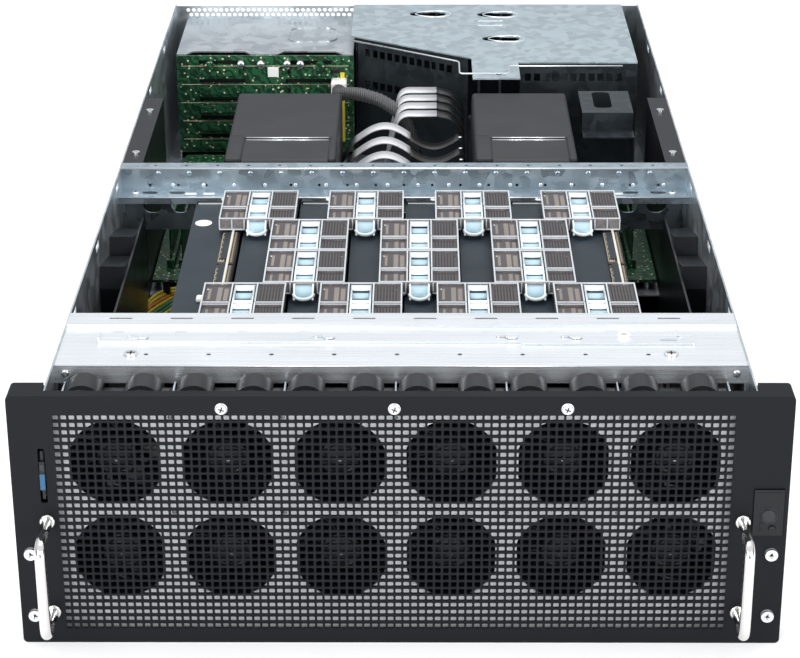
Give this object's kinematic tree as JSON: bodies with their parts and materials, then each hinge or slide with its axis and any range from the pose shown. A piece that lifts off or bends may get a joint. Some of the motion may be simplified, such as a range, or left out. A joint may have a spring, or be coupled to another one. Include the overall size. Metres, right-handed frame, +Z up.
{
  "type": "4u gpu server",
  "caption": "Rack server with its lid off: perforated front, lift-out fan modules, full-length accelerator cards under a locking retention bar, and a rear bay with boards, drives and supplies.",
  "frame": {"origin": "centre of the bounding box's bottom face, under the chassis floor", "axes": "+X to the right seen from the front, +Y from the front panel to the rear wall, +Z up"},
  "size_m": [0.4826, 0.932, 0.1743],
  "materials": {
    "panel_paint": "fine satin black powder coat",
    "galvanised_sheet": "bright galvanised sheet",
    "blue_steel": "blue grey galvanised sheet",
    "chrome_rod": "polished chrome",
    "zinc_screw": "bright zinc",
    "black_plastic": "fine moulded texture",
    "rotor_plastic": "smooth moulded",
    "tag_plastic": "smooth with a blue grip",
    "cooler_shroud": "satin slate blue paint",
    "clear_cover": "clear moulded cover over dark contacts",
    "circuit_board": "green solder mask",
    "bare_aluminium": "machined fins",
    "shroud_plastic": "dark grey moulded",
    "drive_front": "dark carrier with open front",
    "supply_case": "galvanised case",
    "cable_sleeve": "silver and black sleeve",
    "plunger_plastic": "translucent blue knob"
  },
  "bodies": {
    "chassis": {"chassis_floor": "galvanised_sheet", "side_wall_left": "galvanised_sheet", "side_wall_right": "galvanised_sheet", "rear_wall": "galvanised_sheet", "rear_deck": "galvanised_sheet", "front_panel": "panel_paint", "grille_cross_bars": "panel_paint", "panel_frame": "panel_paint", "fan_wall": "galvanised_sheet", "fan_cage": "galvanised_sheet", "handle_left": "chrome_rod", "handle_right": "chrome_rod", "front_screws": "zinc_screw", "case_screws": "zinc_screw", "control_module": "black_plastic", "tag_sleeve": "black_plastic", "card_bar": "galvanised_sheet", "crossmember": "blue_steel", "accelerator_cards": "cooler_shroud", "link_bridges": "clear_cover", "switch_board": "circuit_board", "air_ducts": "black_plastic", "side_rails": "black_plastic", "air_shrouds": "shroud_plastic", "system_board": "circuit_board", "heat_sinks": "bare_aluminium", "memory_modules": "circuit_board", "drive_cage": "galvanised_sheet", "backplane": "circuit_board", "drive_carriers": "drive_front", "riser_cover": "blue_steel", "riser_cage": "blue_steel", "internal_cables": "cable_sleeve"},
    "fan_module_1": {"fan_module_1": "black_plastic"},
    "fan_module_2": {"fan_module_2": "black_plastic"},
    "fan_module_3": {"fan_module_3": "black_plastic"},
    "fan_module_4": {"fan_module_4": "black_plastic"},
    "fan_module_5": {"fan_module_5": "black_plastic"},
    "fan_module_6": {"fan_module_6": "black_plastic"},
    "fan_rotor_1": {"fan_rotor_1": "rotor_plastic"},
    "fan_rotor_2": {"fan_rotor_2": "rotor_plastic"},
    "fan_rotor_3": {"fan_rotor_3": "rotor_plastic"},
    "fan_rotor_4": {"fan_rotor_4": "rotor_plastic"},
    "fan_rotor_5": {"fan_rotor_5": "rotor_plastic"},
    "fan_rotor_6": {"fan_rotor_6": "rotor_plastic"},
    "fan_rotor_7": {"fan_rotor_7": "rotor_plastic"},
    "fan_rotor_8": {"fan_rotor_8": "rotor_plastic"},
    "fan_rotor_9": {"fan_rotor_9": "rotor_plastic"},
    "fan_rotor_10": {"fan_rotor_10": "rotor_plastic"},
    "fan_rotor_11": {"fan_rotor_11": "rotor_plastic"},
    "fan_rotor_12": {"fan_rotor_12": "rotor_plastic"},
    "lock_bar": {"lock_bar": "galvanised_sheet"},
    "lock_plunger": {"lock_plunger": "plunger_plastic"},
    "power_button": {"power_button": "black_plastic"},
    "id_button": {"id_button": "black_plastic"},
    "info_tag": {"info_tag": "tag_plastic"},
    "power_supply_1": {"power_supply_1": "supply_case"},
    "power_supply_2": {"power_supply_2": "supply_case"},
    "power_supply_3": {"power_supply_3": "supply_case"},
    "power_supply_4": {"power_supply_4": "supply_case"}
  },
  "joints": [
    {"name": "fan_lift_1", "type": "slide", "parent": "chassis", "child": "fan_module_1", "axis": [0, 0, 1], "range_m": [0, 0.15]},
    {"name": "fan_lift_2", "type": "slide", "parent": "chassis", "child": "fan_module_2", "axis": [0, 0, 1], "range_m": [0, 0.15]},
    {"name": "fan_lift_3", "type": "slide", "parent": "chassis", "child": "fan_module_3", "axis": [0, 0, 1], "range_m": [0, 0.15]},
    {"name": "fan_lift_4", "type": "slide", "parent": "chassis", "child": "fan_module_4", "axis": [0, 0, 1], "range_m": [0, 0.15]},
    {"name": "fan_lift_5", "type": "slide", "parent": "chassis", "child": "fan_module_5", "axis": [0, 0, 1], "range_m": [0, 0.15]},
    {"name": "fan_lift_6", "type": "slide", "parent": "chassis", "child": "fan_module_6", "axis": [0, 0, 1], "range_m": [0, 0.15]},
    {"name": "fan_spin_1", "type": "hinge", "parent": "fan_module_1", "child": "fan_rotor_1", "pos_m": [-0.177, -0.4, 0.0578], "axis": [0, 1, 0], "continuous": true},
    {"name": "fan_spin_2", "type": "hinge", "parent": "fan_module_1", "child": "fan_rotor_2", "pos_m": [-0.177, -0.4, 0.1241], "axis": [0, 1, 0], "continuous": true},
    {"name": "fan_spin_3", "type": "hinge", "parent": "fan_module_2", "child": "fan_rotor_3", "pos_m": [-0.1074, -0.4, 0.0578], "axis": [0, 1, 0], "continuous": true},
    {"name": "fan_spin_4", "type": "hinge", "parent": "fan_module_2", "child": "fan_rotor_4", "pos_m": [-0.1074, -0.4, 0.1241], "axis": [0, 1, 0], "continuous": true},
    {"name": "fan_spin_5", "type": "hinge", "parent": "fan_module_3", "child": "fan_rotor_5", "pos_m": [-0.0378, -0.4, 0.0578], "axis": [0, 1, 0], "continuous": true},
    {"name": "fan_spin_6", "type": "hinge", "parent": "fan_module_3", "child": "fan_rotor_6", "pos_m": [-0.0378, -0.4, 0.1241], "axis": [0, 1, 0], "continuous": true},
    {"name": "fan_spin_7", "type": "hinge", "parent": "fan_module_4", "child": "fan_rotor_7", "pos_m": [0.0318, -0.4, 0.0578], "axis": [0, 1, 0], "continuous": true},
    {"name": "fan_spin_8", "type": "hinge", "parent": "fan_module_4", "child": "fan_rotor_8", "pos_m": [0.0318, -0.4, 0.1241], "axis": [0, 1, 0], "continuous": true},
    {"name": "fan_spin_9", "type": "hinge", "parent": "fan_module_5", "child": "fan_rotor_9", "pos_m": [0.1014, -0.4, 0.0578], "axis": [0, 1, 0], "continuous": true},
    {"name": "fan_spin_10", "type": "hinge", "parent": "fan_module_5", "child": "fan_rotor_10", "pos_m": [0.1014, -0.4, 0.1241], "axis": [0, 1, 0], "continuous": true},
    {"name": "fan_spin_11", "type": "hinge", "parent": "fan_module_6", "child": "fan_rotor_11", "pos_m": [0.171, -0.4, 0.0578], "axis": [0, 1, 0], "continuous": true},
    {"name": "fan_spin_12", "type": "hinge", "parent": "fan_module_6", "child": "fan_rotor_12", "pos_m": [0.171, -0.4, 0.1241], "axis": [0, 1, 0], "continuous": true},
    {"name": "lock_slide", "type": "slide", "parent": "chassis", "child": "lock_bar", "axis": [1, 0, 0], "range_m": [0, 0.008]},
    {"name": "plunger_pull", "type": "slide", "parent": "lock_bar", "child": "lock_plunger", "axis": [0, 0, 1], "range_m": [0, 0.005], "stiffness_N_per_m": 200, "springref_m": -0.001},
    {"name": "power_press", "type": "slide", "parent": "chassis", "child": "power_button", "axis": [0, 1, 0], "range_m": [0, 0.001], "stiffness_N_per_m": 800},
    {"name": "id_press", "type": "slide", "parent": "chassis", "child": "id_button", "axis": [0, 1, 0], "range_m": [0, 0.001], "stiffness_N_per_m": 800},
    {"name": "tag_pull", "type": "slide", "parent": "chassis", "child": "info_tag", "axis": [0, -1, 0], "range_m": [0, 0.038]},
    {"name": "supply_pull_1", "type": "slide", "parent": "chassis", "child": "power_supply_1", "axis": [0, 1, 0], "range_m": [0, 0.2]},
    {"name": "supply_pull_2", "type": "slide", "parent": "chassis", "child": "power_supply_2", "axis": [0, 1, 0], "range_m": [0, 0.2]},
    {"name": "supply_pull_3", "type": "slide", "parent": "chassis", "child": "power_supply_3", "axis": [0, 1, 0], "range_m": [0, 0.2]},
    {"name": "supply_pull_4", "type": "slide", "parent": "chassis", "child": "power_supply_4", "axis": [0, 1, 0], "range_m": [0, 0.2]}
  ]
}
